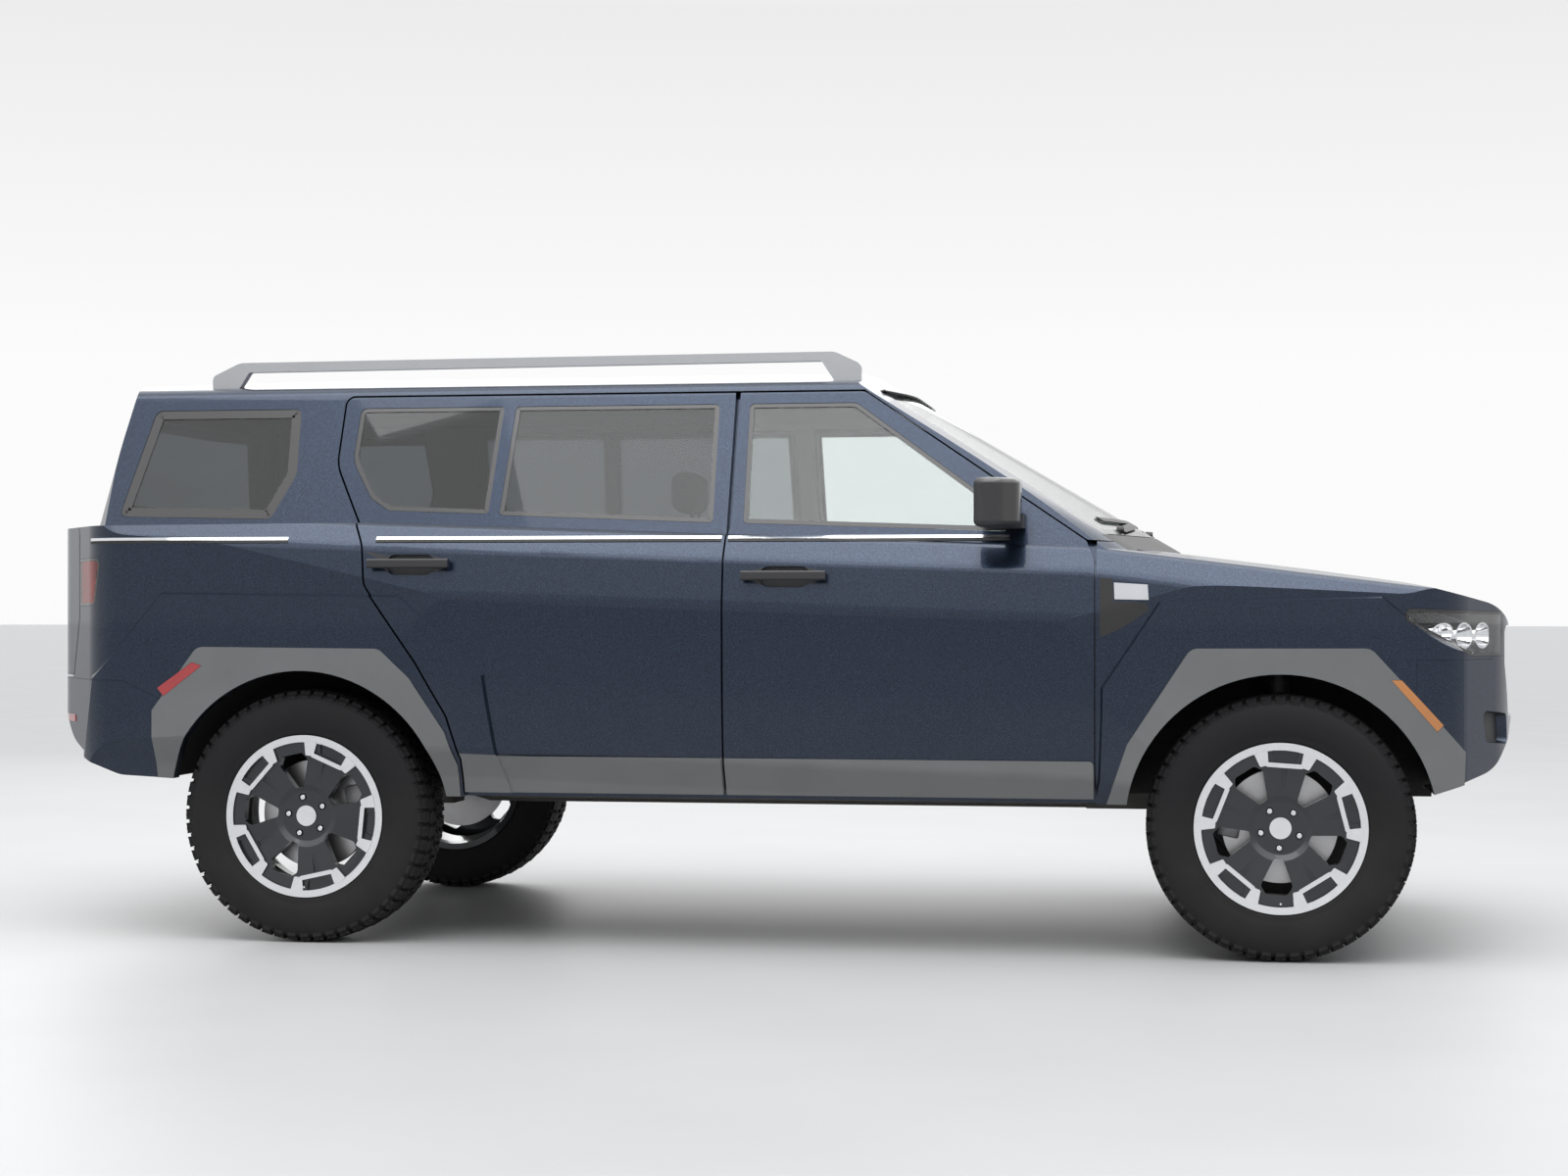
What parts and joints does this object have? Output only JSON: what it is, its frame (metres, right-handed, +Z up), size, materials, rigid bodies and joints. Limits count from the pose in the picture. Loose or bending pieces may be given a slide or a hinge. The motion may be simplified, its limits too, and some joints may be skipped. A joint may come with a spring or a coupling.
{
  "type": "sport utility vehicle",
  "caption": "Five-door sport utility vehicle with opening doors, bonnet and tailgate, steered front wheels and free-rolling wheels.",
  "frame": {"origin": "on the ground, in the middle of the length and the width", "axes": "+X forward, +Y to the left of the vehicle, +Z up"},
  "size_m": [4.5667, 2.1858, 1.7899],
  "materials": {
    "body_paint": "metallic dark blue",
    "dark_plastic": "satin",
    "grey_cladding": "grained",
    "window_glass": "tinted",
    "clear_lens": "clear",
    "red_lens": "clear",
    "roof_rail_metal": "satin",
    "floor_steel": "underseal",
    "seat_fabric": "woven",
    "engine_metal": "cast",
    "chassis_steel": "satin",
    "tyre_rubber": "matt",
    "rim_alloy": "dark paint with machined pads",
    "disc_iron": "turned"
  },
  "bodies": {
    "body": {"arch_trims": "grey_cladding", "body_side_left": "body_paint", "body_side_right": "body_paint", "bulkhead": "dark_plastic", "cowl": "dark_plastic", "dashboard": "dark_plastic", "engine_block": "engine_metal", "exhaust_system": "chassis_steel", "fixed_glass": "window_glass", "floor_pan": "floor_steel", "front_bumper": "body_paint", "front_fenders": "body_paint", "front_seats": "seat_fabric", "grille": "dark_plastic", "head_lamps": "clear_lens", "rear_bumper": "body_paint", "rear_seats": "seat_fabric", "roof_panel": "body_paint", "roof_rails": "roof_rail_metal", "subframes": "chassis_steel", "tail_lamps": "red_lens", "wheel_liners": "dark_plastic"},
    "bonnet_lid": {"bonnet": "body_paint"},
    "tailgate_lid": {"tailgate": "body_paint", "tailgate_glass": "window_glass"},
    "front_door_left_panel": {"front_door_left": "body_paint", "front_door_glass_left": "window_glass", "mirror_left": "dark_plastic"},
    "rear_door_left_panel": {"rear_door_left": "body_paint", "rear_door_glass_left": "window_glass"},
    "knuckle_left": {"steering_knuckle_left": "chassis_steel"},
    "wheel_front_left": {"tyre_front_left": "tyre_rubber", "rim_front_left": "rim_alloy", "brake_disc_front_left": "disc_iron"},
    "wheel_rear_left": {"tyre_rear_left": "tyre_rubber", "rim_rear_left": "rim_alloy", "brake_disc_rear_left": "disc_iron"},
    "front_door_right_panel": {"front_door_right": "body_paint", "front_door_glass_right": "window_glass", "mirror_right": "dark_plastic"},
    "rear_door_right_panel": {"rear_door_right": "body_paint", "rear_door_glass_right": "window_glass"},
    "knuckle_right": {"steering_knuckle_right": "chassis_steel"},
    "wheel_front_right": {"tyre_front_right": "tyre_rubber", "rim_front_right": "rim_alloy", "brake_disc_front_right": "disc_iron"},
    "wheel_rear_right": {"tyre_rear_right": "tyre_rubber", "rim_rear_right": "rim_alloy", "brake_disc_rear_right": "disc_iron"},
    "steering_wheel_rim": {"steering_wheel": "dark_plastic"}
  },
  "joints": [
    {"name": "front_door_left_hinge", "type": "hinge", "parent": "body", "child": "front_door_left_panel", "pos_m": [1.051, 0.949, 0.9], "axis": [0, 0, -1], "range_deg": [0, 68]},
    {"name": "rear_door_left_hinge", "type": "hinge", "parent": "body", "child": "rear_door_left_panel", "pos_m": [-0.037, 0.949, 0.9], "axis": [0, 0, -1], "range_deg": [0, 68]},
    {"name": "steering_left", "type": "hinge", "parent": "body", "child": "knuckle_left", "pos_m": [1.575, 0.69, 0.382], "axis": [0, 0, 1], "range_deg": [-33, 33]},
    {"name": "wheel_front_left_spin", "type": "hinge", "parent": "knuckle_left", "child": "wheel_front_left", "pos_m": [1.575, 0.808, 0.382], "axis": [0, 1, 0], "continuous": true},
    {"name": "wheel_rear_left_spin", "type": "hinge", "parent": "body", "child": "wheel_rear_left", "pos_m": [-1.325, 0.808, 0.382], "axis": [0, 1, 0], "continuous": true},
    {"name": "front_door_right_hinge", "type": "hinge", "parent": "body", "child": "front_door_right_panel", "pos_m": [1.051, -0.949, 0.9], "axis": [0, 0, 1], "range_deg": [0, 68]},
    {"name": "rear_door_right_hinge", "type": "hinge", "parent": "body", "child": "rear_door_right_panel", "pos_m": [-0.037, -0.949, 0.9], "axis": [0, 0, 1], "range_deg": [0, 68]},
    {"name": "steering_right", "type": "hinge", "parent": "body", "child": "knuckle_right", "pos_m": [1.575, -0.69, 0.382], "axis": [0, 0, 1], "range_deg": [-33, 33]},
    {"name": "wheel_front_right_spin", "type": "hinge", "parent": "knuckle_right", "child": "wheel_front_right", "pos_m": [1.575, -0.808, 0.382], "axis": [0, 1, 0], "continuous": true},
    {"name": "wheel_rear_right_spin", "type": "hinge", "parent": "body", "child": "wheel_rear_right", "pos_m": [-1.325, -0.808, 0.382], "axis": [0, 1, 0], "continuous": true},
    {"name": "bonnet_hinge", "type": "hinge", "parent": "body", "child": "bonnet_lid", "pos_m": [1.157, 0, 1.196], "axis": [0, -1, 0], "range_deg": [0, 55]},
    {"name": "tailgate_hinge", "type": "hinge", "parent": "body", "child": "tailgate_lid", "pos_m": [-2.062, 0, 1.708], "axis": [0, 1, 0], "range_deg": [0, 78]},
    {"name": "steering_wheel_turn", "type": "hinge", "parent": "body", "child": "steering_wheel_rim", "pos_m": [0.585, 0.37, 0.965], "axis": [-0.8829, 0, 0.4695], "range_deg": [-500, 500]}
  ],
  "couplings": [
    {"joint": "steering_right", "follows": "steering_left", "ratio": 1},
    {"joint": "steering_wheel_turn", "follows": "steering_left", "ratio": 14}
  ]
}
